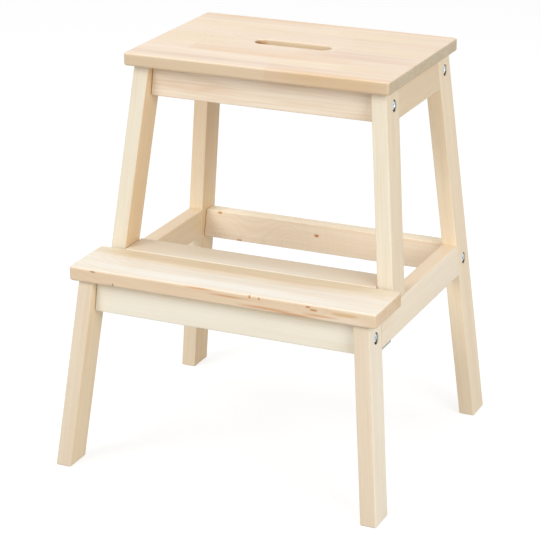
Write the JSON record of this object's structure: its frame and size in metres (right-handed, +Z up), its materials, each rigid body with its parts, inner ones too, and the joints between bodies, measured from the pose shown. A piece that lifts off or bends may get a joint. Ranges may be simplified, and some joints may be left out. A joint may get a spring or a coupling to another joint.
{
  "type": "step stool",
  "caption": "Solid wood step stool with a flat top board with a hand hole, one lower step, splayed legs and recessed bolts.",
  "frame": {"origin": "on the floor, under the middle of the box round the four feet", "axes": "+X to the right of a person facing the front of the stool, +Y to the back, +Z up; the lower step is on the -Y side"},
  "size_m": [0.4254, 0.3898, 0.5],
  "materials": {
    "top_wood": "satin clear lacquer on pale solid wood",
    "step_wood": "satin clear lacquer on pale solid wood",
    "leg_wood": "satin clear lacquer on pale solid wood",
    "rail_wood": "satin clear lacquer on pale solid wood",
    "dowel_wood": "raw turned beech",
    "plate_steel": "zinc-plated sheet steel",
    "zinc_hardware": "bright zinc plate"
  },
  "bodies": {
    "root": {"back_leg_left": "leg_wood", "back_leg_right": "leg_wood", "barrel_nut_lower_back_left": "zinc_hardware", "barrel_nut_lower_back_right": "zinc_hardware", "barrel_nut_lower_front_left": "zinc_hardware", "barrel_nut_lower_front_right": "zinc_hardware", "barrel_nut_upper_back_left": "zinc_hardware", "barrel_nut_upper_back_right": "zinc_hardware", "barrel_nut_upper_front_left": "zinc_hardware", "barrel_nut_upper_front_right": "zinc_hardware", "bolt_lower_back_left": "zinc_hardware", "bolt_lower_back_right": "zinc_hardware", "bolt_lower_front_left": "zinc_hardware", "bolt_lower_front_right": "zinc_hardware", "bolt_upper_back_left": "zinc_hardware", "bolt_upper_back_right": "zinc_hardware", "bolt_upper_front_left": "zinc_hardware", "bolt_upper_front_right": "zinc_hardware", "corner_plate_left": "plate_steel", "corner_plate_right": "plate_steel", "dowel_lower_back_left": "dowel_wood", "dowel_lower_back_right": "dowel_wood", "dowel_lower_front_left": "dowel_wood", "dowel_lower_front_right": "dowel_wood", "dowel_slat_left": "dowel_wood", "dowel_slat_right": "dowel_wood", "dowel_upper_back_left": "dowel_wood", "dowel_upper_back_right": "dowel_wood", "dowel_upper_front_left": "dowel_wood", "dowel_upper_front_right": "dowel_wood", "dowel_upper_leg_foot_left": "dowel_wood", "dowel_upper_leg_foot_right": "dowel_wood", "lower_back_rail": "rail_wood", "lower_front_leg_left": "leg_wood", "lower_front_leg_right": "leg_wood", "lower_front_rail": "rail_wood", "lower_side_rail_left": "rail_wood", "lower_side_rail_right": "rail_wood", "plate_screw_front_left": "zinc_hardware", "plate_screw_front_right": "zinc_hardware", "plate_screw_side_left": "zinc_hardware", "plate_screw_side_right": "zinc_hardware", "step_back_slat": "step_wood", "step_board": "step_wood", "step_screw_front_left": "zinc_hardware", "step_screw_front_right": "zinc_hardware", "step_screw_side_left": "zinc_hardware", "step_screw_side_right": "zinc_hardware", "top_board": "top_wood", "top_screw_back_left": "zinc_hardware", "top_screw_back_right": "zinc_hardware", "top_screw_front_left": "zinc_hardware", "top_screw_front_right": "zinc_hardware", "upper_back_rail": "rail_wood", "upper_front_leg_left": "leg_wood", "upper_front_leg_right": "leg_wood", "upper_front_rail": "rail_wood", "upper_side_rail_left": "rail_wood", "upper_side_rail_right": "rail_wood"}
  },
  "joints": []
}
